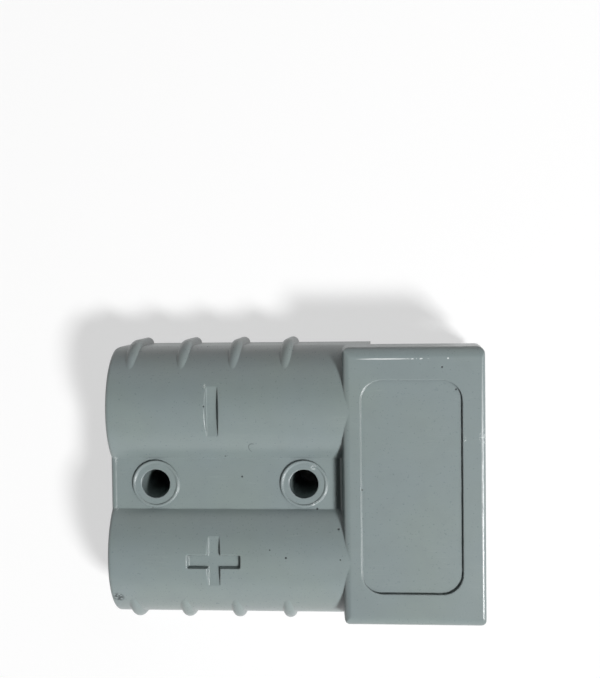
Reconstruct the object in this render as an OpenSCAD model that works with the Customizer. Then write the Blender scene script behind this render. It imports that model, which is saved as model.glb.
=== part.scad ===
// Genderless two-pole power connector, 50 A size, one half of a mated pair.
// Two equal halves mate when one is turned upside down: the tongue of each enters the hood
// of the other, and the contact blades press face to face on the middle plane.
// +X is the mating direction, +Y is the side of the negative pole, +Z is up.
// The part lies on its flat side, with its origin under the middle of its box.

/* [Body] */
// Length from the cable end to the mating end
body_length = 47.8; // [47:0.2:52]
// Height from the flat side to the crest of the barrels
body_height = 16; // [15.8:0.1:17.2]
// Distance between the two poles
pole_pitch = 19; // [18.8:0.1:20.4]
// Height of the web between the barrels
web_height = 13; // [12.4:0.1:13.6]
// Rounding of the edges round the cable end
rear_edge_r = 0.5; // [0.3:0.1:0.8]
// Rounding of the two long edges of the flat side
base_edge_r = 0.9; // [0.4:0.1:1.2]
// Rounding of the upright corners
corner_r = 1; // [0.4:0.1:1.6]
// Rounding of the shoulder's lower edge
shoulder_edge_r = 0.4; // [0.2:0.1:0.8]

/* [Hood] */
// Length of the hood's flat top
hood_length = 17.6; // [16.4:0.1:18.6]
// Lean of the hood's rear face from upright, in degrees
hood_lean = 5; // [3:1:14]
// Thickness of the hood's roof
hood_roof_t = 2.8; // [2.4:0.1:3]
// Thickness of the hood's side walls
hood_side_t = 1.05; // [0.9:0.05:1.4]
// Rounding of the hood's long top edges
hood_side_edge_r = 1.3; // [0.6:0.1:2]
// Rounding of the hood's rear top edge
hood_rear_edge_r = 0.9; // [0.4:0.1:1.2]
// Rounding of the hood's front top edge
hood_front_edge_r = 0.4; // [0.2:0.1:0.8]
// Rounding of the two leaning edges at the back of the hood
hood_rear_corner_r = 1; // [0.4:0.1:1.4]
// Radius of the hollow corners inside the hood
mouth_corner_r = 0.4; // [0.2:0.1:0.8]
// Radius of the hollow corner where the hood rises from the web
hood_foot_r = 0.6; // [0.3:0.1:1]
// Length of the sunk panel on the hood
panel_length = 12.6; // [10:0.1:13]
// Width of the sunk panel on the hood
panel_width = 26.8; // [20:0.1:29]
// Corner radius of the sunk panel
panel_corner_r = 2.6; // [1:0.1:4]
// Distance from the panel to the mating end
panel_inset = 2.8; // [2:0.1:3]
// Depth of the sunk panel
panel_depth = 0.4; // [0.1:0.05:0.5]

/* [Tongue] */
// Length of the tongue, which is also the depth to which a partner enters
tongue_length = 14.6; // [14:0.1:15.6]
// Thickness of the tongue's floor
tongue_floor_t = 1.2; // [0.9:0.1:1.4]
// Thickness of the tongue's front wall
tongue_front_t = 1.2; // [0.9:0.1:1.6]
// Width of the channel between the tongue's two blocks
channel_width = 6.6; // [6.2:0.1:6.8]
// Height of the key ledge on each wall of the channel
key_ledge_h = 0.3; // [0.2:0.05:0.4]
// Depth of the channel above the key ledges
key_ledge_z = 2.4; // [1.8:0.1:3]
// Rounding of the tongue's outer edges
tongue_edge_r = 0.6; // [0.3:0.1:0.9]
// Clearance over and beside a partner's tongue
mating_clearance = 0.4; // [0.3:0.05:0.5]
// Clearance between a partner's tongue and a side wall
side_clearance = 0.15; // [0.1:0.05:0.3]
// Clearance in front of a partner's tongue
end_clearance = 0.3; // [0.2:0.1:0.5]
// Gap that each half leaves to the middle plane
middle_gap = 0.1; // [0.05:0.05:0.2]

/* [Divider pocket] */
// Length of the cored pocket in the divider
pocket_length = 11.7; // [9:0.1:12]
// Width of the cored pocket in the divider
pocket_width = 3.1; // [2:0.1:3.4]
// Distance from the pocket to the mating end
pocket_inset = 2.3; // [1.6:0.1:2.4]
// Thickness left above the pocket
pocket_roof_t = 2.2; // [1.4:0.1:2.4]
// Radius round the bottom of the pocket
pocket_foot_r = 0.4; // [0.2:0.1:0.8]

/* [Mounting holes] */
// Diameter of the two mounting holes
mount_hole_d = 3.7; // [3:0.1:4.2]
// Distance between the mounting holes
mount_hole_pitch = 19.1; // [18:0.1:19.6]
// Distance from the cable end to the first mounting hole
mount_hole_inset = 5.9; // [5:0.1:6.2]
// Diameter of the boss round each mounting hole
boss_d = 6; // [5.6:0.1:6.3]
// Height of the boss's lip above the web
boss_height = 0.3; // [0.2:0.05:0.6]
// Width of the lip round the boss
boss_lip_w = 0.3; // [0.2:0.05:0.5]
// Depth of the boss's face below its lip
boss_dish_depth = 0.1; // [0.05:0.05:0.15]

/* [Grip ribs] */
// Number of grip ribs on each side
rib_count = 4; // [1:4]
// Distance from the cable end to the first rib
rib_inset = 2.8; // [2.2:0.1:4]
// Distance between ribs
rib_pitch = 6.65; // [4:0.05:6.8]
// Radius of a rib
rib_r = 0.8; // [0.5:0.05:1]
// Bend radius of a rib's upper end, which dives into the barrel
rib_bend_r = 6.1; // [5:0.1:6.6]

/* [Raised and sunk marks] */
// Length of the pole signs, at their floor
sign_length = 6.5; // [6.4:0.1:7]
// Width of the pole signs' strokes, at their floor
sign_stroke = 1.4; // [1:0.1:1.8]
// Draft of the walls of the pole signs, in degrees
sign_draft = 16; // [4:1:24]
// Radius at the ends of the strokes
sign_corner_r = 0.4; // [0.2:0.1:0.5]
// Depth of the pole signs in the tongue
tongue_sign_depth = 0.35; // [0.2:0.05:0.5]
// Depth of the pole signs below the crest of a barrel
barrel_sign_depth = 0.65; // [0.4:0.05:0.65]
// Distance from the cable end to the signs on the barrels
barrel_sign_x = 13.65; // [10:0.05:16]
// Distance from the mating end to the signs on the tongue
tongue_sign_inset = 7.1; // [6:0.1:8]

/* [Flat side] */
// Length of the long slot between the mounting holes
slot_length = 9.3; // [6:0.1:10]
// Width of the long slot
slot_width = 2.2; // [1.4:0.1:2.6]
// Depth of the long slot and of the oval hole
slot_depth = 10; // [6:0.5:10.5]
// Length of the oval hole
oval_length = 4; // [3.2:0.1:4.2]
// Width of the oval hole
oval_width = 3; // [2:0.1:3.1]
// Distance from the shoulder to the middle of the oval hole
oval_inset = 3; // [2.8:0.1:3.2]
// Diameter of the four ejector dimples
dimple_d = 2.35; // [1.6:0.05:2.6]
// Depth of the ejector dimples
dimple_depth = 0.5; // [0.2:0.1:0.8]
// Distance from the cable end to the row of dimples
dimple_x = 14.7; // [13:0.1:16]
// Distance between the two outer dimples
dimple_outer_span = 29.2; // [27:0.1:30]
// Distance between the two inner dimples
dimple_inner_span = 10.8; // [9:0.1:12]
// Depth of the sunk disc and of the sunk fields
field_depth = 0.25; // [0.1:0.05:0.5]
// Diameter of the sunk disc
disc_d = 8.4; // [7:0.1:9]
// Distance from the cable end to the disc's middle
disc_x = 7.5; // [6:0.1:8]
// Length of the sunk field on the positive side
field_short = 15.8; // [12:0.1:16]
// Length of the sunk field on the negative side
field_long = 25.8; // [20:0.1:26]
// Width of both sunk fields
field_width = 6; // [5:0.1:6.4]
// Distance from the shoulder to the short field
field_short_inset = 2.4; // [2:0.1:3]
// Distance from the shoulder to the long field
field_long_inset = 3.8; // [3:0.1:5]
// Distance from the middle line to the disc and to both fields
field_y = 10; // [8.5:0.1:11]
// Corner radius of the sunk fields
field_corner_r = 0.8; // [0.4:0.1:1.5]

/* [Cable entry and contact chamber] */
// Diameter of the cable entry bores
entry_bore_d = 11.6; // [10:0.1:11.8]
// Depth of the cable entry bores
entry_bore_depth = 11.5; // [10:0.1:12.5]
// Width of the lead-in round each cable entry bore
entry_lead = 0.4; // [0.2:0.1:0.6]
// Clearance of the contact in its chamber, on each side
chamber_clearance = 0.3; // [0.2:0.05:0.4]

/* [Contacts] */
// Outer diameter of the crimp barrel
crimp_od = 7.6; // [7:0.1:7.9]
// Inner diameter of the crimp barrel
crimp_id = 5.8; // [5:0.1:6.2]
// Length of the crimp barrel
crimp_length = 13; // [12:0.1:14]
// Depth of the wire bore in the crimp barrel
crimp_depth = 12; // [8:0.1:12.4]
// Length of the swaged neck between barrel and blade
neck_length = 4; // [3:0.1:5]
// Width of the blade
blade_width = 9.6; // [9:0.1:9.8]
// Thickness of the blade
blade_t = 2.2; // [1.8:0.1:2.4]
// Height of the blade's face over the middle plane when unmated
blade_lift = 0.3; // [0.1:0.05:0.4]
// Bend radius on the outside of the hooked tip
tip_bend_r = 1.8; // [1:0.1:2]
// Thickness of the hooked tip
tip_t = 1.6; // [1.2:0.1:1.8]
// Radius of the blade's plan corners
blade_corner_r = 1; // [0.5:0.1:1.5]

/* [Springs] */
// Thickness of the spring leaf
spring_t = 0.5; // [0.4:0.05:0.6]
// Width of the spring leaf
spring_width = 8.4; // [7:0.1:9]
// Length of the flat foot at each end of the leaf
spring_foot = 1.6; // [1.2:0.1:2]
// Length of the spring's anchor tab
anchor_depth = 1; // [0.6:0.1:1.4]
// Width of the spring's anchor tab
anchor_width = 4; // [3:0.1:5]
// Gap between the crest of the leaf and the blade
spring_gap = 0.05; // [0.02:0.01:0.1]

/* [Hidden] */
$fn = 96;
// How far a cut or a joined piece runs past the face that it crosses
eps = 0.5;
// How far a rounding or a hollow corner is set off a leaning face, to meet it at a faint crease
crease = 0.02;

plastic = "#8b9697";
silver = "#c9cccd";
steel = "#a7abad";

// Main planes and axes
rear_x = -body_length / 2;
front_x = body_length / 2;
middle_z = body_height / 2;
barrel_r = middle_z;
pole_y = pole_pitch / 2;
side_y = pole_y + barrel_r;
mount_hole_xs = [for (i = [0:1]) rear_x + mount_hole_inset + i * mount_hole_pitch];
boss_z = web_height + boss_height;
boss_face_z = boss_z - boss_dish_depth;

// Hood and mouth
shoulder_x = front_x - tongue_length;
hood_rear_x = front_x - hood_length;
roof_z = body_height - hood_roof_t;
mouth_y = side_y - hood_side_t;
mouth_rear_x = shoulder_x - end_clearance;

// Tongue, channel and divider
tongue_z = hood_roof_t + mating_clearance;
tongue_y = mouth_y - side_clearance;
channel_y = channel_width / 2;
ledge_y = channel_y - key_ledge_h;
ledge_z = tongue_z + key_ledge_z;
ledge_front_x = front_x - pocket_inset;
divider_y = channel_y - side_clearance;
divider_key_y = ledge_y - side_clearance;
divider_key_z = body_height - ledge_z + middle_gap;
block_y = (channel_y + tongue_y) / 2;

// Contact and its chamber
floor_z = tongue_z + tongue_floor_t;
chamber_front_x = front_x - tongue_front_t;
chamber_rear_x = rear_x + entry_bore_depth;
locating_gap = chamber_clearance / 2;
blade_high_z = middle_z + blade_lift;
blade_low_z = blade_high_z - blade_t;
tip_x = chamber_front_x - chamber_clearance;
tip_low_z = floor_z + locating_gap;
crimp_rear_x = chamber_rear_x + chamber_clearance;
crimp_front_x = crimp_rear_x + crimp_length;
crimp_r = crimp_od / 2;
neck_front_x = crimp_front_x + neck_length;
neck_flare = 0.6;
chamber_y = blade_width / 2 + chamber_clearance;
chamber_z = blade_high_z + chamber_clearance;

// Spring leaf: a low arch between two flat feet
spring_rear_x = neck_front_x - spring_foot;
spring_front_x = tip_x - tip_t - chamber_clearance;
anchor_clearance = chamber_clearance / 3;
arch_x = (spring_front_x + spring_rear_x) / 2;
arch_half = (spring_front_x - spring_rear_x) / 2 - spring_foot;
arch_rise = blade_low_z - spring_gap - floor_z - spring_t;
arch_r = (arch_half * arch_half + arch_rise * arch_rise) / (2 * arch_rise);

// Carries a flat outline, drawn with x along the body and y up, across the body
module upright(width) {
    rotate([90, 0, 0]) linear_extrude(width, center = true) children();
}

// Carries a flat outline, drawn with x across the body and y up, along the body
module along(from_x, to_x) {
    translate([from_x, 0, 0]) rotate([90, 0, 90]) linear_extrude(to_x - from_x) children();
}

// Sinks a flat outline into the flat side, or into any face that looks down from height z
module sink_up(z, depth) {
    translate([0, 0, z - eps]) linear_extrude(depth + eps) children();
}

// Repeats a shape on both sides of the middle line
module both_sides() {
    for (side = [0, 1]) mirror([0, side, 0]) children();
}

// What a rounding of radius r takes off a square corner, whose sides run to -x and -y
module corner_waste(r) {
    difference() {
        translate([-r, -r]) square(r + eps);
        translate([-r, -r]) circle(r);
    }
}

// The same for the blunt corner between the hood's top and its leaning rear face.
// Turned half round, it fills the hollow corner at the foot of that face.
module lean_corner(r) {
    reach = r * tan(45 - hood_lean / 2);
    difference() {
        polygon([
            [reach, -r],
            [reach, eps],
            [-eps, eps],
            [-reach * sin(hood_lean) - eps * cos(hood_lean), eps * sin(hood_lean) - reach * cos(hood_lean)]
        ]);
        translate([reach, -r]) circle(r);
    }
}

// A rectangle between two opposite corners, with all its corners rounded
module soft_rect(low, high, r) {
    difference() {
        translate(low) square(high - low);
        translate(high) corner_waste(r);
        translate(low) rotate(180) corner_waste(r);
        translate([high[0], low[1]]) rotate(-90) corner_waste(r);
        translate([low[0], high[1]]) rotate(90) corner_waste(r);
    }
}

// Plan of the whole body
module plan_outline() {
    soft_rect([rear_x, -side_y], [front_x, side_y], corner_r);
}

// The slab under the barrels, whose lower face is the flat side
module base_slab() {
    intersection() {
        along(rear_x, shoulder_x) difference() {
            translate([-side_y, 0]) square([2 * side_y, middle_z]);
            translate([side_y, 0]) rotate(-90) corner_waste(base_edge_r);
            translate([-side_y, 0]) rotate(180) corner_waste(base_edge_r);
        }
        upright(2 * side_y) difference() {
            translate([rear_x, 0]) square([shoulder_x - rear_x, middle_z]);
            translate([rear_x, 0]) rotate(180) corner_waste(rear_edge_r);
            translate([shoulder_x, 0]) rotate(-90) corner_waste(shoulder_edge_r);
        }
        linear_extrude(middle_z) plan_outline();
    }
}

// The upper half of one cable barrel, with a soft edge round its open end
module barrel_half() {
    intersection() {
        translate([rear_x, pole_y, middle_z]) rotate([0, 90, 0]) rotate_extrude() difference() {
            square([barrel_r, shoulder_x - rear_x]);
            translate([barrel_r, 0]) rotate(-90) corner_waste(rear_edge_r);
        }
        translate([rear_x, 0, middle_z]) cube([body_length, side_y, barrel_r]);
        translate([0, 0, middle_z]) linear_extrude(barrel_r) plan_outline();
    }
}

// The web that joins the barrels, with a boss and its thin lip round each mounting hole
module web() {
    upright(2 * pole_y) difference() {
        translate([rear_x, middle_z]) square([shoulder_x - rear_x, web_height - middle_z]);
        translate([rear_x, web_height]) rotate(90) corner_waste(rear_edge_r);
    }
    for (x = mount_hole_xs) translate([x, 0, 0]) difference() {
        translate([0, 0, middle_z]) cylinder(h = boss_z - middle_z, d = boss_d);
        translate([0, 0, boss_face_z])
            cylinder(h = boss_dish_depth + eps, d = boss_d - 2 * boss_lip_w);
    }
}

// Where the hood's leaning rear face stands at height z
function hood_face_x(z) = hood_rear_x - (body_height - z) * tan(hood_lean);

// Side view of the hood
module hood_outline() {
    difference() {
        polygon([
            [hood_face_x(middle_z), middle_z],
            [hood_rear_x, body_height],
            [front_x, body_height],
            [front_x, middle_z]
        ]);
        translate([front_x, body_height]) corner_waste(hood_front_edge_r);
        translate([hood_rear_x, body_height]) lean_corner(hood_rear_edge_r);
    }
}

// The hood before its mouth is hollowed out
module hood_block() {
    difference() {
        intersection() {
            upright(2 * side_y) hood_outline();
            along(rear_x, front_x) difference() {
                translate([-side_y, middle_z]) square([2 * side_y, body_height - middle_z]);
                translate([side_y, body_height]) corner_waste(hood_side_edge_r);
                translate([-side_y, body_height]) rotate(90) corner_waste(hood_side_edge_r);
            }
            translate([0, 0, middle_z]) linear_extrude(body_height) plan_outline();
        }
        both_sides() translate([hood_rear_x, side_y, body_height]) rotate([0, hood_lean, 0])
            translate([-crease, 0, -body_height]) linear_extrude(body_height + eps)
                rotate(90) corner_waste(hood_rear_corner_r);
    }
    upright(2 * pole_y) translate([hood_face_x(web_height) + crease, web_height - crease])
        rotate(180) lean_corner(hood_foot_r);
}

// One block of the tongue, with the key ledge on its inner wall
module tongue_block() {
    intersection() {
        along(shoulder_x - eps, front_x) difference() {
            translate([channel_y, tongue_z]) square([tongue_y - channel_y, middle_z - tongue_z]);
            translate([tongue_y, tongue_z]) rotate(-90) corner_waste(tongue_edge_r);
        }
        upright(2 * side_y) difference() {
            translate([shoulder_x - eps, tongue_z]) square([tongue_length + eps, middle_z - tongue_z]);
            translate([front_x, tongue_z]) rotate(-90) corner_waste(tongue_edge_r);
        }
        linear_extrude(middle_z) difference() {
            translate([shoulder_x - eps, 0]) square([tongue_length + eps, tongue_y]);
            translate([front_x, tongue_y]) corner_waste(tongue_edge_r);
            translate([front_x, channel_y]) rotate(-90) corner_waste(tongue_edge_r);
        }
    }
    along(shoulder_x - eps, ledge_front_x)
        translate([ledge_y, ledge_z]) square([key_ledge_h + eps, middle_z - ledge_z]);
}

// Grip ribs: half-round beads that climb each side and dive into the barrel
module ribs() {
    for (i = [0:rib_count - 1]) translate([rear_x + rib_inset + i * rib_pitch, 0, 0]) {
        foot_z = base_edge_r + rib_r;
        translate([0, side_y, foot_z]) sphere(rib_r);
        translate([0, side_y, foot_z]) cylinder(h = middle_z - foot_z, r = rib_r);
        translate([0, side_y - rib_bend_r, middle_z]) rotate([90, 0, 90])
            rotate_extrude(angle = 90) translate([rib_bend_r, 0]) circle(rib_r);
    }
}

// Hollow of the hood on one side of the divider, with the way in for a partner's divider key
module mouth() {
    along(mouth_rear_x, front_x + eps) difference() {
        translate([divider_key_y, middle_z]) square([mouth_y - divider_key_y, roof_z - middle_z]);
        translate([divider_key_y - eps, divider_key_z])
            square([divider_y - divider_key_y + eps, roof_z - divider_key_z + eps]);
        translate([mouth_y, roof_z]) corner_waste(mouth_corner_r);
        translate([divider_y, roof_z]) rotate(90) corner_waste(mouth_corner_r);
    }
}

// The slit along the middle plane that parts the tongue from the hood
module middle_slit() {
    translate([shoulder_x, -side_y - eps, middle_z - middle_gap])
        cube([tongue_length + eps, 2 * (side_y + eps), 2 * middle_gap]);
}

// The cored pocket in the divider
module divider_pocket() {
    from_x = front_x - pocket_inset - pocket_length;
    to_x = front_x - pocket_inset;
    high_z = body_height - pocket_roof_t;
    intersection() {
        upright(pocket_width) difference() {
            translate([from_x, middle_z]) square([pocket_length, high_z - middle_z]);
            translate([to_x, high_z]) corner_waste(pocket_foot_r);
            translate([from_x, high_z]) rotate(90) corner_waste(pocket_foot_r);
        }
        along(from_x, to_x) difference() {
            translate([-pocket_width / 2, middle_z]) square([pocket_width, high_z - middle_z]);
            translate([pocket_width / 2, high_z]) corner_waste(pocket_foot_r);
            translate([-pocket_width / 2, high_z]) rotate(90) corner_waste(pocket_foot_r);
        }
    }
}

// The swaged neck between crimp barrel and blade, or with a gap round it, its way in
module neck(gap) {
    upright_width = blade_width + 2 * gap;
    intersection() {
        upright(upright_width) polygon([
            [crimp_front_x, middle_z - crimp_r - 2 * gap],
            [neck_front_x, blade_low_z - gap],
            [neck_front_x, blade_high_z + gap],
            [crimp_front_x, middle_z + crimp_r + 2 * gap]
        ]);
        translate([crimp_front_x, 0, middle_z]) rotate([0, 90, 0])
            cylinder(h = neck_length, r1 = crimp_r + gap, r2 = upright_width / 2 + neck_flare);
    }
}

// Cable entry bore, locating bore and blade chamber of one pole
module chamber() {
    entry_r = entry_bore_d / 2;
    translate([rear_x, pole_y, middle_z]) rotate([0, 90, 0]) {
        translate([0, 0, -eps]) cylinder(h = entry_bore_depth + eps, r = entry_r);
        translate([0, 0, -eps])
            cylinder(h = entry_lead + eps, r1 = entry_r + entry_lead + eps, r2 = entry_r);
        cylinder(h = crimp_front_x - rear_x, r = crimp_r + locating_gap);
    }
    translate([0, pole_y, 0]) neck(locating_gap);
    translate([chamber_rear_x, pole_y - chamber_y, floor_z])
        cube([chamber_front_x - chamber_rear_x, 2 * chamber_y, chamber_z - floor_z]);
    translate([
        spring_rear_x - anchor_clearance,
        pole_y - anchor_width / 2 - anchor_clearance,
        floor_z - anchor_depth - anchor_clearance
    ]) cube([
        spring_t + 2 * anchor_clearance,
        anchor_width + 2 * anchor_clearance,
        anchor_depth + anchor_clearance + eps
    ]);
}

// One stroke of a sign, sunk from the plane z = 0, with walls that lean outward as they rise
module sign_stroke_cut(half_x, half_y, depth) {
    above = (depth + eps) * tan(sign_draft);
    reach = depth * tan(sign_draft) + crease;
    intersection() {
        upright(2 * (half_y + above)) polygon([
            [-half_x, -depth], [half_x, -depth], [half_x + above, eps], [-half_x - above, eps]
        ]);
        along(-half_x - above, half_x + above) polygon([
            [-half_y, -depth], [half_y, -depth], [half_y + above, eps], [-half_y - above, eps]
        ]);
        translate([0, 0, -depth]) linear_extrude(depth + eps) soft_rect(
            [-half_x - reach, -half_y - reach], [half_x + reach, half_y + reach], sign_corner_r);
    }
}

// A sign sunk from the origin: a stroke across the body, and one along it for the plus
module pole_sign(plus, depth) {
    sign_stroke_cut(sign_stroke / 2, sign_length / 2, depth);
    if (plus) sign_stroke_cut(sign_length / 2, sign_stroke / 2, depth);
}

// The signs in the barrels' crests and in the tongue, plus at -Y and minus at +Y
module pole_signs() {
    for (side = [-1, 1]) {
        translate([rear_x + barrel_sign_x, side * pole_y, body_height])
            pole_sign(side < 0, barrel_sign_depth);
        translate([front_x - tongue_sign_inset, side * block_y, tongue_z]) mirror([0, 0, 1])
            pole_sign(side < 0, tongue_sign_depth);
    }
}

// The sunk panel in the hood's top, left bare
module hood_panel() {
    high_x = front_x - panel_inset;
    translate([0, 0, body_height - panel_depth]) linear_extrude(panel_depth + eps)
        soft_rect([high_x - panel_length, -panel_width / 2], [high_x, panel_width / 2], panel_corner_r);
}

// A sunk field in the flat side, from its front edge back, centred on the line y
module flat_field(to_x, length, y) {
    half = field_width / 2;
    soft_rect([to_x - length, y - half], [to_x, y + half], field_corner_r);
}

// Everything that is sunk into the flat side
module flat_side_cuts() {
    sink_up(0, field_depth) {
        translate([rear_x + disc_x, -field_y]) circle(disc_d / 2);
        flat_field(shoulder_x - field_short_inset, field_short, -field_y);
        flat_field(shoulder_x - field_long_inset, field_long, field_y);
    }
    sink_up(0, dimple_depth) for (side = [-1, 1], span = [dimple_inner_span, dimple_outer_span])
        translate([rear_x + dimple_x, side * span / 2]) circle(dimple_d / 2);
    sink_up(0, slot_depth) {
        slot_x = (mount_hole_xs[0] + mount_hole_xs[1]) / 2;
        translate([slot_x - slot_length / 2, -slot_width / 2]) square([slot_length, slot_width]);
        translate([shoulder_x - oval_inset, 0]) soft_rect(
            [-oval_length / 2, -oval_width / 2], [oval_length / 2, oval_width / 2], oval_width / 2 - 0.1);
    }
}

// The moulded housing, one piece
module housing() {
    color(plastic) difference() {
        union() {
            base_slab();
            web();
            hood_block();
            both_sides() {
                barrel_half();
                tongue_block();
                ribs();
            }
        }
        both_sides() {
            mouth();
            chamber();
        }
        middle_slit();
        divider_pocket();
        for (x = mount_hole_xs) translate([x, 0, -eps])
            cylinder(h = body_height + eps, d = mount_hole_d);
        pole_signs();
        hood_panel();
        flat_side_cuts();
    }
}

// Side view of the blade with its hooked tip
module blade_outline() {
    difference() {
        union() {
            translate([neck_front_x - eps, blade_low_z])
                square([tip_x - neck_front_x + eps, blade_t]);
            translate([tip_x - tip_t, tip_low_z]) square([tip_t, blade_high_z - tip_low_z]);
        }
        translate([tip_x, blade_high_z]) corner_waste(tip_bend_r);
    }
}

// One contact: crimp barrel, swaged neck, flat blade and hooked tip
module contact() {
    half = blade_width / 2;
    color(silver) translate([0, pole_y, 0]) {
        translate([crimp_rear_x, 0, middle_z]) rotate([0, 90, 0]) difference() {
            cylinder(h = crimp_length, r = crimp_r);
            translate([0, 0, -eps]) cylinder(h = crimp_depth + eps, d = crimp_id);
        }
        neck(0);
        intersection() {
            upright(blade_width) blade_outline();
            linear_extrude(body_height) difference() {
                translate([crimp_front_x, -half]) square([tip_x - crimp_front_x, blade_width]);
                translate([tip_x, half]) corner_waste(blade_corner_r);
                translate([tip_x, -half]) rotate(-90) corner_waste(blade_corner_r);
            }
        }
    }
}

// One spring leaf, lying on the tongue's floor under the blade
module spring() {
    color(steel) translate([0, pole_y, 0]) {
        upright(spring_width) {
            for (x = [spring_rear_x, spring_front_x - spring_foot])
                translate([x, floor_z]) square([spring_foot, spring_t]);
            intersection() {
                translate([arch_x, floor_z + arch_rise - arch_r]) difference() {
                    circle(arch_r + spring_t);
                    circle(arch_r);
                }
                translate([arch_x - arch_half - spring_t, floor_z])
                    square([2 * (arch_half + spring_t), arch_rise + spring_t]);
            }
        }
        upright(anchor_width) translate([spring_rear_x, floor_z - anchor_depth])
            square([spring_t, anchor_depth + spring_t]);
    }
}

housing();
mirror([0, 1, 0]) contact();  // contact_positive
contact();  // contact_negative
mirror([0, 1, 0]) spring();  // spring_positive
spring();  // spring_negative
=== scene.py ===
# %% [markdown]
# # One half of a genderless power connector
#
# The real object is a grey moulded housing with two silver-plated contacts and two leaf
# springs inside. It lies with its flat side down and its two round barrels up, on a plain
# white table. The shapes come ready-made from the CAD model. This lesson dresses them:
# a camera, soft light, a floor, one finish for each material, and the small traces
# that moulding and handling leave.

# %% Load the frame
import math

import bpy
import numpy as np
from mathutils import Euler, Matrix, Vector


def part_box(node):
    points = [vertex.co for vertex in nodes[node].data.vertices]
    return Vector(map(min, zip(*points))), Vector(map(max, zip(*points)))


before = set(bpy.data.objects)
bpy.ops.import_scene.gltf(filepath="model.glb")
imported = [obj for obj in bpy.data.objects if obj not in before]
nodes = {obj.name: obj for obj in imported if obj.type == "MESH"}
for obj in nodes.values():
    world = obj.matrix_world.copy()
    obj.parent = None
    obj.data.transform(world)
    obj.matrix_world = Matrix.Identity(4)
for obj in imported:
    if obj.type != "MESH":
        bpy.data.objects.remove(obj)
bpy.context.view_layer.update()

scene = bpy.context.scene
print("CAD nodes:", ", ".join(sorted(nodes)))

# %% [markdown]
# ## Sizes
#
# Blender works in metres and the part is small, so one value stands for a millimetre.
# The housing's ends and the distance between its poles are read from the boxes of the CAD
# nodes, so what is worked out from them follows the part if its sizes change.

# %% Sizes of the part
mm = 0.001

low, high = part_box("housing")
rear_x = low.x
front_x = high.x
contact_low, contact_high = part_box("contact_negative")
pole_y = (contact_low.y + contact_high.y) / 2
print("housing, mm:", [round(value / mm, 2) for value in high - low])
print("distance between the poles, mm:", round(2 * pole_y / mm, 2))

# %% [markdown]
# ## Camera
#
# The view is from nearly overhead, as someone sees a part that lies in front of them.
# The camera stands over the far side of the hood and leans back a little, so the long
# lens shows a trace of the barrels' sides. A constraint could aim it at a target. Three
# numbers that place it and three that turn it are plainer, and nothing can move them.

# %% Camera
camera_place = Vector((15.157, 25.971, 173.171)) * mm
camera_turn_deg = (-2.739, 5.087, -0.7052)
camera_lens = 67.46
camera_sensor = 36.0

camera_data = bpy.data.cameras.new("overhead_camera")
camera_data.lens = camera_lens
camera_data.sensor_width = camera_sensor
camera_data.sensor_fit = "AUTO"
camera_data.clip_start = 0.01
camera_data.clip_end = 20.0
camera = bpy.data.objects.new("overhead_camera", camera_data)
camera.location = camera_place
camera.rotation_euler = Euler([math.radians(angle) for angle in camera_turn_deg], "XYZ")
scene.collection.objects.link(camera)
scene.camera = camera
scene.view_settings.view_transform = "Standard"
print("camera height over the table, mm:", round(camera_place.z / mm, 1))

# %% [markdown]
# ## Colours and nodes
#
# Colours are written as they look on a screen, in hex. Cycles mixes light in linear
# values, so one function turns the one into the other. Materials can be drawn by hand in
# the node editor. Here a second small helper adds a node, sets its inputs and joins its
# wires, so that each finish can be read from top to bottom.

# %% Two helpers


def linear(hex_colour):
    """The linear colour of an sRGB hex value: each channel, from 0 to 1, is undone by the
    sRGB curve, a straight line near black and a power of 2.4 above it."""
    channels = [int(hex_colour[i:i + 2], 16) / 255 for i in (1, 3, 5)]
    return [c / 12.92 if c <= 0.04045 else ((c + 0.055) / 1.055) ** 2.4 for c in channels] + [1.0]


def add(tree, kind, settings=None, give=0, **inputs):
    """Adds one node and hands back one of its outputs. Settings are the node's own properties.
    Inputs are named after its sockets, with spaces as underscores, or by number, such as i0.
    An output of another node is wired to its input, and a plain value is set on it."""
    node = tree.nodes.new("ShaderNode" + kind)
    for name, value in (settings or {}).items():
        setattr(node, name, value)
    for name, value in inputs.items():
        numbered = name[0] == "i" and name[1:].isdigit()
        socket = node.inputs[int(name[1:]) if numbered else name.replace("_", " ")]
        if isinstance(value, bpy.types.NodeSocket):
            tree.links.new(value, socket)
        else:
            socket.default_value = value
    return node.outputs[give] if len(node.outputs) else node


print("white is", [round(value, 3) for value in linear("#ffffff")[:3]])

# %% [markdown]
# ## Masks
#
# A mask is a value from 0 to 1 that says where a layer of a finish shows. Two ways
# of putting masks together are enough: where all of them hold, and where any of them does.
# An empty material gets its name and a clear node tree first.

# %% Masks and materials


def overlap(tree, *masks):
    """Where all the masks hold: their product."""
    together = masks[0]
    for mask in masks[1:]:
        together = add(tree, "Math", {"operation": "MULTIPLY"}, i0=together, i1=mask)
    return together


def joined(tree, *masks):
    """Where any of the masks holds: the greatest of them."""
    together = masks[0]
    for mask in masks[1:]:
        together = add(tree, "Math", {"operation": "MAXIMUM"}, i0=together, i1=mask)
    return together


def new_material(name):
    """A material of this name and its empty node tree."""
    material = bpy.data.materials.new(name)
    material.use_nodes = True
    material.node_tree.nodes.clear()
    return material, material.node_tree


print("masks are put together by", overlap.__name__, "and", joined.__name__)

# %% [markdown]
# ## Light
#
# The light is that of a plain photo table. A lamp behind a diffuser stands over the mating
# end, a little to the side of the positive pole. It is small enough for the hood to
# throw a clear shadow on the web. Two larger, weaker lamps open the other two sides, and a
# dim room fills the rest. One sun would give hard shadows, and a white sky none. Each
# lamp's share is worked out so that a level white sheet under all of them looks just
# white, because then a colour renders about as it is written.

# %% Lamps
key_share = 0.92
side_share = 0.04
rear_share = 0.01
room_share = 1 - key_share - side_share - rear_share
lamp_distance = 1.0
key_size = 0.18
fill_size = 0.58


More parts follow.
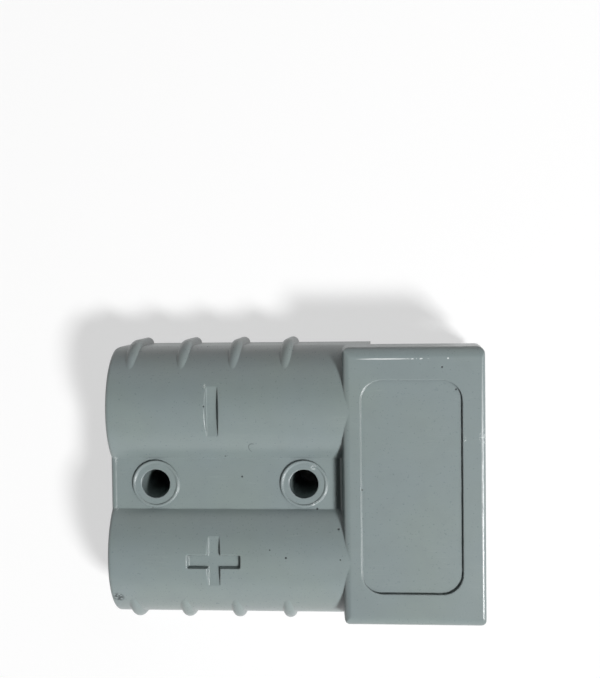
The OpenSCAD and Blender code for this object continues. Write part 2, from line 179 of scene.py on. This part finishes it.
def add_lamp(name, direction, share, size):
    """A square lamp that shines at the part from a direction. A white sheet sends back its
    power times the cosine of the slant, over pi squared times the distance squared."""
    toward = Vector(direction).normalized()
    data = bpy.data.lights.new(name, "AREA")
    data.shape = "SQUARE"
    data.size = size
    data.energy = share * math.pi ** 2 * lamp_distance ** 2 / toward.z
    lamp = bpy.data.objects.new(name, data)
    lamp.location = toward * lamp_distance
    lamp.rotation_euler = toward.to_track_quat("Z", "Y").to_euler()
    scene.collection.objects.link(lamp)
    print(name, "W:", round(data.energy, 2))


add_lamp("key_lamp", (0.48, -0.35, 0.87), key_share, key_size)
add_lamp("side_lamp", (0.35, 0.65, 0.67), side_share, fill_size)
add_lamp("rear_lamp", (-0.85, 0.20, 0.45), rear_share, fill_size)

# %% [markdown]
# The room has white walls and a dim ceiling. The camera sees white in every direction, and
# whatever gleams mirrors the walls, up to the height where they fade into the ceiling.
# For the light that falls on the part the whole room is dim, so shadows stay deep. A
# picture of a studio round the scene would do the same, but it would need a file.

# %% Walls and ceiling
wall_top = 0.35
ceiling_start = 0.80

world = bpy.data.worlds.new("room")
world.use_nodes = True
scene.world = world
room = world.node_tree
room.nodes.clear()
heading = add(room, "SeparateXYZ", give="Z", Vector=add(room, "TexCoord", give="Generated"))
wall = add(room, "MapRange", Value=heading, From_Min=wall_top, From_Max=ceiling_start,
           To_Min=1.0, To_Max=0.0)
gleam = joined(room, add(room, "LightPath", give="Is Glossy Ray"),
               add(room, "LightPath", give="Is Transmission Ray"))
seen = joined(room, add(room, "LightPath", give="Is Camera Ray"), overlap(room, gleam, wall))
dim = add(room, "Background", Color=linear("#ffffff"), Strength=room_share)
white = add(room, "Background", Color=linear("#ffffff"), Strength=1.0)
add(room, "OutputWorld", Surface=add(room, "MixShader", Fac=seen, i1=dim, i2=white))
print("strength of the dim room:", round(room_share, 3))

# %% [markdown]
# ## Table
#
# A flat white sheet carries the part and its shadow. Four corners make it, since only its
# top shows. A photo table's sheet is lit from within too, which thins the shadow, so the
# sheet gives most of its white as light of its own. Only the camera and gleams
# see that light. It doesn't light the part, so its lower sides stay in shade. The sheet gives
# none under the slab that lies on it, so the screw holes look down into the dark. Far
# from the part its own light takes over, and it meets the white room with no edge.

# %% White table
table_half = 1.5
sheet_share = 0.38
lit_radius = 0.10
plain_radius = 0.35
tongue_length = 14.6 * mm
slab_edge = 1.5 * mm
slab_spans = {"X": (rear_x + slab_edge, front_x - tongue_length - slab_edge),
              "Y": (-pole_y, pole_y)}

table_mesh = bpy.data.meshes.new("white_table")
corners = np.array([[-1, -1, 0], [1, -1, 0], [1, 1, 0], [-1, 1, 0]]) * table_half
table_mesh.from_pydata(corners.tolist(), [], [(0, 1, 2, 3)])
table = bpy.data.objects.new("white_table", table_mesh)
scene.collection.objects.link(table)

paper, tree = new_material("matte_white_card")
place = add(tree, "TexCoord", give="Object")
beyond = []
for axis, (start, end) in slab_spans.items():
    along = add(tree, "SeparateXYZ", give=axis, Vector=place)
    beyond.append(add(tree, "Math", {"operation": "LESS_THAN"}, i0=along, i1=start))
    beyond.append(add(tree, "Math", {"operation": "GREATER_THAN"}, i0=along, i1=end))

ray_kinds = ("Is Camera Ray", "Is Glossy Ray", "Is Transmission Ray")
seen = joined(tree, *[add(tree, "LightPath", give=kind) for kind in ray_kinds])
seen = overlap(tree, seen, joined(tree, *beyond))
reach = add(tree, "VectorMath", {"operation": "LENGTH"}, give="Value", Vector=place)
card_share = add(tree, "MapRange", Value=reach, From_Min=lit_radius, From_Max=plain_radius,
                 To_Min=sheet_share, To_Max=0.0)
glow_share = add(tree, "MapRange", Value=reach, From_Min=lit_radius, From_Max=plain_radius,
                 To_Min=1 - sheet_share, To_Max=1.0)
card = add(tree, "BsdfDiffuse", Color=card_share)
glow = add(tree, "Emission", Color=linear("#ffffff"), Strength=glow_share)
off = add(tree, "Emission", Strength=0.0)
lift = add(tree, "MixShader", Fac=seen, i1=off, i2=glow)
add(tree, "OutputMaterial", Surface=add(tree, "AddShader", i0=card, i1=lift))
table_mesh.materials.append(paper)
print("table, m:", 2 * table_half)

# %% [markdown]
# ## Housing finish
#
# The housing is polycarbonate, injection-moulded in a blue-grey. A moulded surface copies
# its steel tool: a satin skin with a very fine grain, and a slight waviness where
# thick walls shrank. Its finish is built up in layers: skin, worn arrises, dust pits,
# hairlines and the few larger marks that this one has got, each from a real cause and
# with its real size, and on top painted highlights on edges and crests and painted shade
# in the inner corners. Every layer is a mask. The last cell of the finish turns
# the masks into colour, roughness and height.
#
# Seven clouds serve nearly all the layers. Blotches and mottling come from melt
# that cooled at different speeds, and long waves from shrinkage. A painted image could hold
# them, but a cloud in the object's own space needs no unwrapping and has no seams. A real
# tool's grain is about 0.05 mm. It is drawn five times as coarse, to show at all.

# %% Clouds of the skin
cloud_sizes = {
    "blotch": 9 * mm,
    "mottle": 2.2 * mm,
    "grain": 0.25 * mm,
    "wave": 6 * mm,
    "patch": 3.5 * mm,
    "crumb": 0.35 * mm,
    "chip": 0.20 * mm,
}

moulded, tree = new_material("moulded_polycarbonate")
place = add(tree, "TexCoord", give="Object")
clouds = {name: add(tree, "TexNoise", Vector=place, Scale=1 / size)
          for name, size in cloud_sizes.items()}
print("clouds, mm:", {name: round(size / mm, 2) for name, size in cloud_sizes.items()})

# %% [markdown]
# ### Arrises
#
# No moulded edge is quite sharp, and hands and tables polish it further. Cutting the mesh
# would change the CAD shape. The Bevel node leaves it alone: it looks at the faces
# within its radius and gives a softly turned normal there. Where this normal parts from the
# face's own, by 6 degrees or more, there is an edge, and from 26 degrees on it counts in
# full. Ambient Occlusion tells outer edges, which wear, from inner corners, which don't.
# The outer edges are painted paler, as wear and as a painted highlight, and the inner
# corners are darkened with painted shade further on.

# %% Soft arrises, worn and with a painted highlight
arris_radius = 0.22 * mm
corner_reach = 0.8 * mm
edge_starts = 0.995
edge_full = 0.90

soft_edge = add(tree, "Bevel", {"samples": 8}, Radius=arris_radius)
own_normal = add(tree, "NewGeometry", give="Normal")
agreement = add(tree, "VectorMath", {"operation": "DOT_PRODUCT"}, give="Value",
                i0=soft_edge, i1=own_normal)
near_edge = add(tree, "MapRange", Value=agreement, From_Min=edge_starts, From_Max=edge_full)
openness = add(tree, "AmbientOcclusion", {"samples": 4}, give="AO", Distance=corner_reach)
outer = add(tree, "MapRange", Value=openness, From_Min=0.75, From_Max=0.95)
rubbed = overlap(tree, add(tree, "MapRange", Value=clouds["crumb"], From_Min=0.38, From_Max=0.60),
                 add(tree, "MapRange", Value=clouds["patch"], From_Min=0.38, From_Max=0.60))
# Wear and painted highlight: outer edges, broken up by two clouds, are painted paler
worn_and_highlit = overlap(tree, near_edge, outer, rubbed)
print("arris radius, mm:", round(arris_radius / mm, 2))

# %% [markdown]
# ### Dust pits and hairlines
#
# Dust in the tool leaves a few tiny dark pits, about one in four square centimetres. A
# Voronoi pattern gives each cell of space one random point, and only points that happen
# to lie on the surface show. Hairlines come from other connectors and tools. They could be
# curves laid on the surface. Level lines of a cloud that is stretched until it is all
# threads are lighter, and they run over every side.

# %% Pits and hairlines
pit_spacing = 4.6 * mm
pit_radius = 0.11 * mm
thread_length = 9 * mm
thread_width = 0.35 * mm
thread_turns_deg = (24, -37, 83)
thread_level = 0.60
thread_half_width = 0.010

to_point = add(tree, "TexVoronoi", Vector=place, Scale=1 / pit_spacing)
pits = add(tree, "MapRange", Value=to_point,
           From_Min=pit_radius / pit_spacing, From_Max=0.6 * pit_radius / pit_spacing)

threads = []
for angle in thread_turns_deg:
    turned = add(tree, "Mapping", Vector=place, Rotation=(0, 0, math.radians(angle)),
                 Scale=(1 / thread_length, 1 / thread_width, 1 / thread_width))
    level = add(tree, "TexNoise", Vector=turned, Scale=1.0, Detail=1.0)
    threads.append(overlap(
        tree,
        add(tree, "MapRange", Value=level, From_Min=thread_level - thread_half_width,
            From_Max=thread_level),
        add(tree, "MapRange", Value=level, From_Min=thread_level + thread_half_width,
            From_Max=thread_level),
    ))
handled = add(tree, "MapRange", Value=clouds["patch"], From_Min=0.50, From_Max=0.62)
hairlines = overlap(tree, joined(tree, *threads), handled)
print("hairline directions, degrees:", thread_turns_deg)

# %% [markdown]
# ### Marks of its own
#
# The larger marks have places. A brush could paint them on the mesh, but the CAD mesh is
# left as it comes. So each is a ball of influence, squashed and turned to the size
# of the mark: a Mapping node carries the space round it to a unit ball, a spherical
# gradient falls from 1 in its middle to 0 on its skin, and the inner part is made solid.
# The places are in millimetres from the middle of the flat side.

# %% Places of the marks


def ball(centre, radii, turn=0.0, skin=0.5):
    """A mask on an ellipsoid, turned about the upright axis. It is 1 inside and falls evenly to
    0 over the outer share of the radius that skin gives. Sizes are in millimetres."""
    local = add(tree, "Mapping", {"vector_type": "TEXTURE"}, Vector=place,
                Location=[value * mm for value in centre], Scale=[value * mm for value in radii],
                Rotation=(0, 0, math.radians(turn)))
    depth = add(tree, "TexGradient", {"gradient_type": "SPHERICAL"}, give="Fac", Vector=local)
    return add(tree, "MapRange", Value=depth, From_Max=skin)


hood_z = 16.0
panel_z = 15.6
web_z = 13.0

# Dark pits that are larger than the rest: place and radius
large_pits = [
    (18.60, 15.00, hood_z, 0.15),
    (13.20, 13.30, hood_z, 0.17),
    (20.30, 12.20, panel_z, 0.14),
    (8.60, -0.36, panel_z, 0.12),
    (21.40, -9.60, panel_z, 0.15),
    (-11.20, 10.20, 15.97, 0.14),
    (-8.90, 3.60, 13.40, 0.15),
    (-7.35, 3.16, 13.20, 0.14),
    (-6.85, 0.90, web_z, 0.14),
    (-16.75, 1.60, web_z, 0.10),
    (-18.50, -3.10, 13.10, 0.15),
    (-1.07, -8.90, 16.00, 0.15),
    (5.55, -5.42, 14.90, 0.18),
    (2.75, -3.20, 13.05, 0.17),
]
specks = joined(tree, *[ball((x, y, z), (radius,) * 3, skin=0.4) for x, y, z, radius in large_pits])
print("large pits:", len(large_pits))

# %% [markdown]
# A long pale line beside the hood's edge, where its rounding starts, is a painted highlight.
# It is a thin ball. A second one continues it, broken into dots by a cloud, and one dot
# stands apart. Painted highlights run along the crests of the hood's front edge and the
# web's rear edge too, broken into streaks. A short curved scratch on the negative barrel
# is what is left between two balls.

# %% Painted highlights and a scratch
# Painted highlight beside the hood's edge
highlight_half = 3.7
highlight_start = ball((11.5, 16.03, hood_z), (highlight_half, 0.09, 0.30), skin=0.4)
highlight_end = ball((15.3, 16.05, hood_z), (2.0, 0.10, 0.30))
highlight_dot = ball((19.35, 16.08, hood_z), (0.13,) * 3)
dots = add(tree, "MapRange", Value=clouds["crumb"], From_Min=0.56, From_Max=0.60)
highlight_line = joined(tree, highlight_start, overlap(tree, highlight_end, dots), highlight_dot)

# Painted highlights on the crests of the hood's front edge and the web's rear edge
streak_size = (0.15 * mm, 1.6 * mm, 1.0 * mm)
streaks = add(tree, "Mapping", Vector=place, Scale=[1 / size for size in streak_size])
streaks = add(tree, "TexNoise", Vector=streaks, Scale=1.0)
streaks = add(tree, "MapRange", Value=streaks, From_Min=0.30, From_Max=0.62, To_Min=0.2)
front_crest_highlight = overlap(tree, ball((23.52, -1.0, 15.92), (0.19, 17.5, 0.34)), streaks)
web_crest_highlight = overlap(tree, ball((-23.22, 0.0, 12.92), (0.12, 6.0, 0.30)), streaks)

curl_depth = ball((-5.2, 4.75, 14.5), (0.62, 0.75, 1.2), turn=30, skin=1.0)
curl_side = ball((-5.7, 5.0, 14.5), (0.75, 0.9, 1.5), skin=0.15)
curl = overlap(tree, add(tree, "MapRange", Value=curl_depth, From_Min=0.02, From_Max=0.10),
               add(tree, "MapRange", Value=curl_depth, From_Min=0.24, From_Max=0.14), curl_side)
print("rub by the hood's edge, mm:", 2 * highlight_half)

# %% [markdown]
# The scuffs are areas in which the plastic is chewed to pale crumbs: on the mating end's
# edge, by the front boss, at both ends of the web's rear edge, and beside the minus
# sign. A knock on the corner of the positive barrel left a dark, lumpy dent.

# %% Scuffs and a dent
scuff_places = [
    ((23.65, 6.3, 15.8), (0.7, 1.3, 0.5)),
    ((21.30, 6.0, 15.9), (0.25, 0.5, 0.3)),
    ((2.30, 2.10, 13.3), (0.5, 0.45, 0.3)),
    ((2.70, -2.60, 13.3), (0.8, 0.6, 0.2)),
    ((-23.20, 3.2, 13.0), (0.25, 0.9, 0.6)),
    ((-23.20, -3.4, 13.0), (0.3, 0.6, 0.5)),
    ((-11.20, 12.7, 15.0), (0.25, 0.4, 0.9)),
]
scuffed = joined(tree, *[ball(centre, radii) for centre, radii in scuff_places])
chips = add(tree, "MapRange", Value=clouds["chip"], From_Min=0.52, From_Max=0.60)
chewed = overlap(tree, scuffed, chips)

dent_radii = (0.85, 0.95, 1.0)
dent_lumps = add(tree, "MapRange", Value=clouds["crumb"], From_Min=0.58, From_Max=0.50)
dented = ball((-22.9, -14.5, 14.2), dent_radii)
dent = overlap(tree, dented, dent_lumps)
dent_crumbs = overlap(tree, dented, chips)
print("scuffed places:", len(scuff_places))

# %% [markdown]
# ### Tool marks
#
# The round disc in the flat side is the end of a turned pin in the tool, and its face keeps
# the rings of the lathe. The pocket in the divider was spark-eroded and is coarse.

# %% Turned disc and eroded pocket
disc_centre = (-16.4, -10.0, 0.0)
disc_radius = 4.2
ring_pitch = 0.22 * mm
pocket_centre = (15.75, 0.0, 13.6)
pocket_radii = (7.2, 2.4, 1.6)

on_disc = ball(disc_centre, (disc_radius, disc_radius, 1.0), skin=0.02)
disc_place = add(tree, "Mapping", Vector=place, Location=[-value * mm for value in disc_centre])
rings = add(tree, "TexWave", {"wave_type": "RINGS", "rings_direction": "Z"}, give="Fac",
            Vector=disc_place, Scale=math.pi / (10 * ring_pitch), Distortion=0.3)
turned_rings = overlap(tree, rings, on_disc)
eroded = overlap(tree, ball(pocket_centre, pocket_radii, skin=0.1), clouds["crumb"])
print("lathe rings every", round(ring_pitch / mm, 2), "mm")

# %% [markdown]
# ### Colour
#
# The masks meet here. Blotches choose between two greys, and inner corners are darkened
# with painted shade. Worn and chewed plastic is paler, because its rough skin scatters
# white, and the worn edges, two crests and a line beside the hood's edge are lighter still
# with painted highlights. Pits are nearly black. Each layer is a colour, the mask that it
# shows in, and the most of it that shows, from the lowest layer to the uppermost.

# %% Housing colour
bluish_grey = linear("#859192")
greenish_grey = linear("#869290")
mottled_grey = linear("#7e898a")
# Pale grey of wear, also used for the painted highlight on the outer edges
wear_and_highlight_grey = linear("#a9b3b3")
chewed_grey = linear("#ccd3d3")
# Near white of the painted highlights on the crests and beside the hood's edge
highlight_grey = linear("#e4e9e9")
pit_grey = linear("#22282b")
# Dark grey of the painted shade in the inner corners, and of the curved scratch
shade_and_scratch_grey = linear("#474e50")


def tinted(tree, under, layers):
    """Lays colours over the one under them, each as far as its mask and its share let it."""
    for colour, mask, share in layers:
        under = add(tree, "Mix", {"data_type": "RGBA"}, give=2, i0=overlap(tree, mask, share),
                    i6=under, i7=colour)
    return under


blotches = add(tree, "MapRange", Value=clouds["blotch"], From_Min=0.35, From_Max=0.65)
mottles = add(tree, "MapRange", Value=clouds["mottle"], From_Min=0.45, From_Max=0.75)
# Painted shade: the less open a place is, the darker it is painted
corner_shade = add(tree, "MapRange", Value=openness, From_Min=0.80, From_Max=0.35)
colour = tinted(tree, bluish_grey, [
    (greenish_grey, blotches, 1.0),
    (mottled_grey, mottles, 0.30),
    (shade_and_scratch_grey, corner_shade, 0.55),
    (wear_and_highlight_grey, hairlines, 0.14),
    (wear_and_highlight_grey, worn_and_highlit, 0.75),
    (highlight_grey, front_crest_highlight, 0.75),
    (highlight_grey, web_crest_highlight, 0.25),
    (wear_and_highlight_grey, dent_crumbs, 0.50),
    (pit_grey, dent, 0.75),
    (chewed_grey, chewed, 0.85),
    (highlight_grey, highlight_line, 0.90),
    (pit_grey, joined(tree, pits, specks), 0.90),
    (shade_and_scratch_grey, curl, 0.70),
])
print("housing finish so far:", len(tree.nodes), "nodes")

# %% [markdown]
# ### Roughness and height
#
# Polished edges are smoother than the skin, and chewed places rougher. All heights are
# added up, in millimetres, for one Bump node. True displacement would need a mesh
# a hundred times as fine for marks that no outline shows. IOR 1.585 is that of polycarbonate.

# %% Housing shader
satin = add(tree, "MapRange", Value=clouds["grain"], From_Min=0.3, From_Max=0.7,
            To_Min=0.27, To_Max=0.34)
satin = add(tree, "MapRange", Value=joined(tree, worn_and_highlit, front_crest_highlight), To_Min=satin, To_Max=0.22)
satin = add(tree, "MapRange", Value=joined(tree, chewed, dent), To_Min=satin, To_Max=0.60)

heights = [
    (clouds["wave"], 0.012),
    (clouds["grain"], 0.004),
    (hairlines, -0.002),
    (joined(tree, pits, specks), -0.05),
    (chewed, 0.02),
    (dent, -0.06),
    (curl, -0.02),
    (highlight_line, -0.01),
    (turned_rings, 0.012),
    (eroded, 0.05),
]
relief = 0.0
for mask, height in heights:
    relief = add(tree, "Math", {"operation": "MULTIPLY_ADD"}, i0=mask, i1=height * mm, i2=relief)
skin_normal = add(tree, "Bump", Height=relief, Normal=soft_edge, Strength=1.0, Distance=1.0)

plastic = add(tree, "BsdfPrincipled", Base_Color=colour, Roughness=satin, IOR=1.585,
              Normal=skin_normal)
add(tree, "OutputMaterial", Surface=plastic)
print("housing finish:", len(tree.nodes), "nodes")

# %% [markdown]
# ## Metal finishes
#
# The contacts are copper, stamped, drawn to a barrel at one end and plated with silver. Under
# the plate the drawing marks still run along the part. Silver gleams warm and white and
# tarnishes to a faint straw colour in patches. The springs are cold-rolled stainless
# strip: greyer, with straight rolling lines that the stamping press left alone. An
# anisotropic gloss could stand for the lines. Stretched clouds show the lines themselves.

# %% Silver plate and spring strip
line_length = 14 * mm
line_height = 0.0015 * mm
metal_edge = 0.10 * mm
tarnish_roughness = 0.04


def drawn_metal(name, bright, dull, line_width, roughness, patch_size):
    """A metal with lines along the part. The lines are a cloud that is stretched along the
    length, and they carry small steps of height and colour. Larger patches go from
    the bright colour to the dull one and are a little rougher."""
    metal, tree = new_material(name)
    place = add(tree, "TexCoord", give="Object")
    stretched = add(tree, "Mapping", Vector=place,
                    Scale=(1 / line_length, 1 / line_width, 1 / line_width))
    lines = add(tree, "TexNoise", Vector=stretched, Scale=1.0, Detail=1.0)
    patches = add(tree, "TexNoise", Vector=place, Scale=1 / patch_size)
    tarnish = add(tree, "MapRange", Value=patches, From_Min=0.45, From_Max=0.72)
    fine_lines = add(tree, "MapRange", Value=lines, From_Min=0.35, From_Max=0.65)
    colour = tinted(tree, bright, [(dull, tarnish, 0.6), (dull, fine_lines, 0.20)])
    gloss = add(tree, "MapRange", Value=tarnish, To_Min=roughness,
                To_Max=roughness + tarnish_roughness)
    soft = add(tree, "Bevel", {"samples": 4}, Radius=metal_edge)
    skin = add(tree, "Bump", Height=lines, Normal=soft, Strength=1.0, Distance=line_height)
    shader = add(tree, "BsdfPrincipled", Base_Color=colour, Metallic=1.0, Roughness=gloss,
                 Normal=skin)
    add(tree, "OutputMaterial", Surface=shader)
    return metal


silver = drawn_metal("silver_plated_copper", linear("#ece9e1"), linear("#d3cab4"),
                     0.25 * mm, 0.26, 3.0 * mm)
strip = drawn_metal("rolled_stainless_strip", linear("#c8c9c7"), linear("#b0b0ac"),
                    0.15 * mm, 0.30, 4.0 * mm)

finishes = {"housing": moulded, "contact": silver, "spring": strip}
for name, node in nodes.items():
    finish = next(finish for start, finish in finishes.items() if name.startswith(start))
    node.data.materials.clear()
    node.data.materials.append(finish)
    print(name, "is", finish.name)
